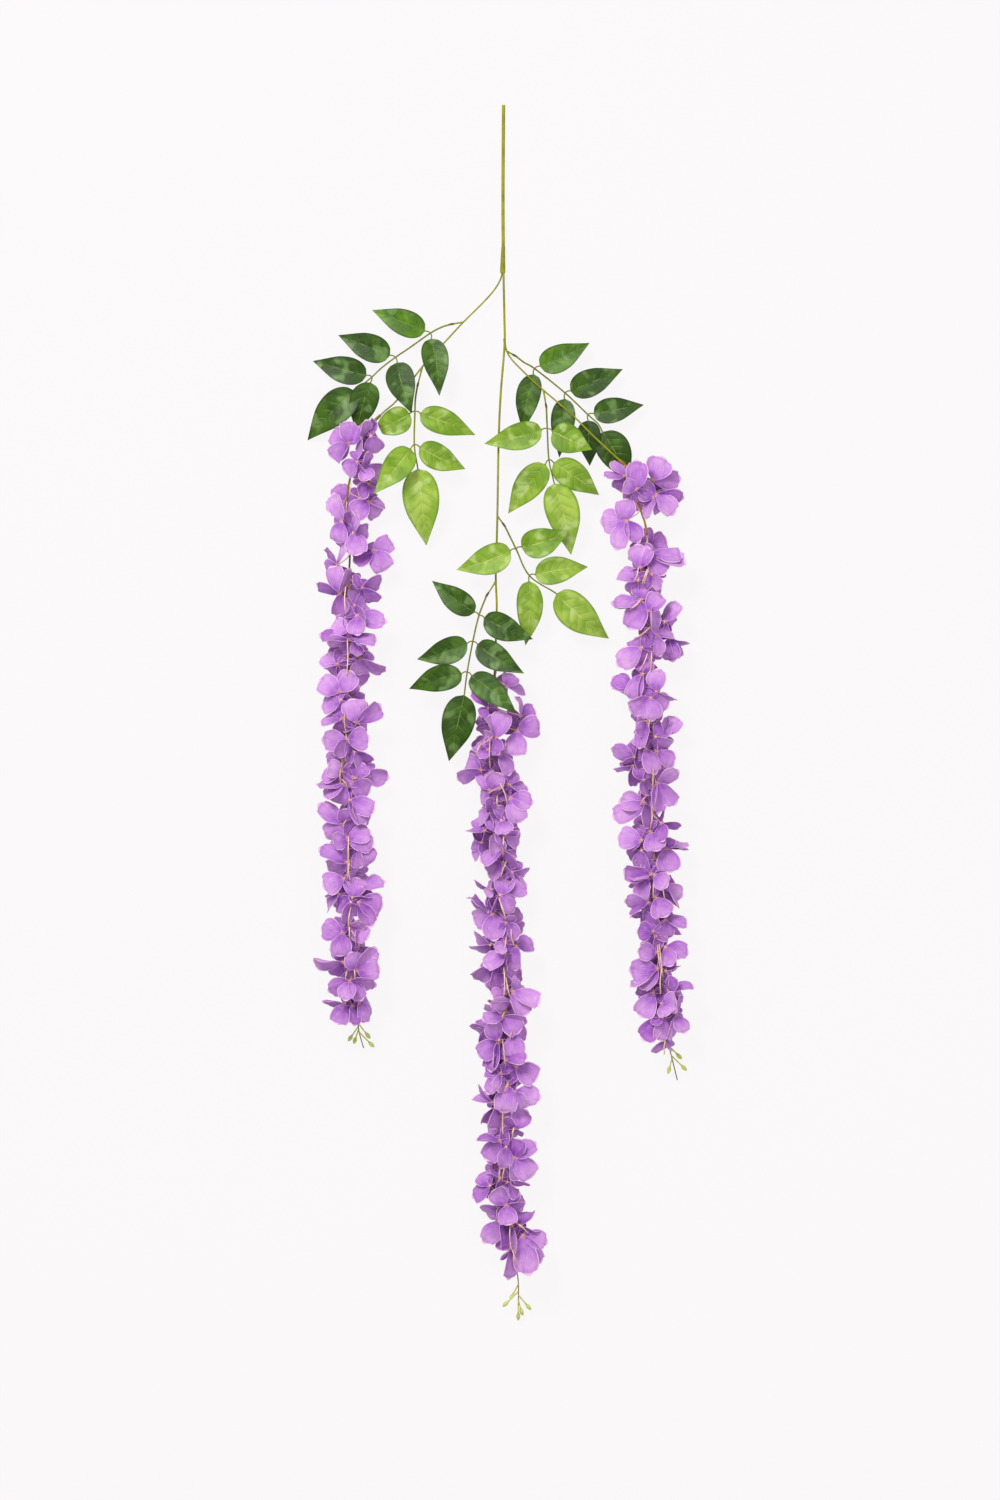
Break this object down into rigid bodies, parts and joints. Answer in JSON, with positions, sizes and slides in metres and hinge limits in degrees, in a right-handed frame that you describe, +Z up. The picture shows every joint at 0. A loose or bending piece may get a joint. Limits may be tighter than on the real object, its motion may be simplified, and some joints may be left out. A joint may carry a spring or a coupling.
{
  "type": "artificial wisteria spray",
  "caption": "Long artificial flower spray: a wire stem forks into drooping strings of purple blossoms, with sprays of green leaflets at the forks, lying flat.",
  "frame": {"origin": "centre of the bounding box on the surface the spray lies on", "axes": "+Y along the stem towards its cut end, +Z up from the surface, +X to the right as seen from above with the stem's cut end at the top"},
  "size_m": [0.3434, 1.0968, 0.0475],
  "materials": {
    "stem": "satin olive coating on wire",
    "dark_leaf": "waxed dark green cloth",
    "light_leaf": "waxed light green cloth",
    "petal": "matt purple cloth"
  },
  "bodies": {
    "root": {"upper_stem": "stem", "fork_sleeve": "stem", "left_branch": "stem", "forked_stem": "stem", "left_dark_spray": "dark_leaf", "left_light_spray": "light_leaf", "right_dark_spray": "dark_leaf", "right_light_spray": "light_leaf", "centre_light_spray": "light_leaf", "centre_dark_spray": "dark_leaf", "left_raceme": "petal", "right_raceme": "petal", "centre_raceme": "petal"}
  },
  "joints": []
}
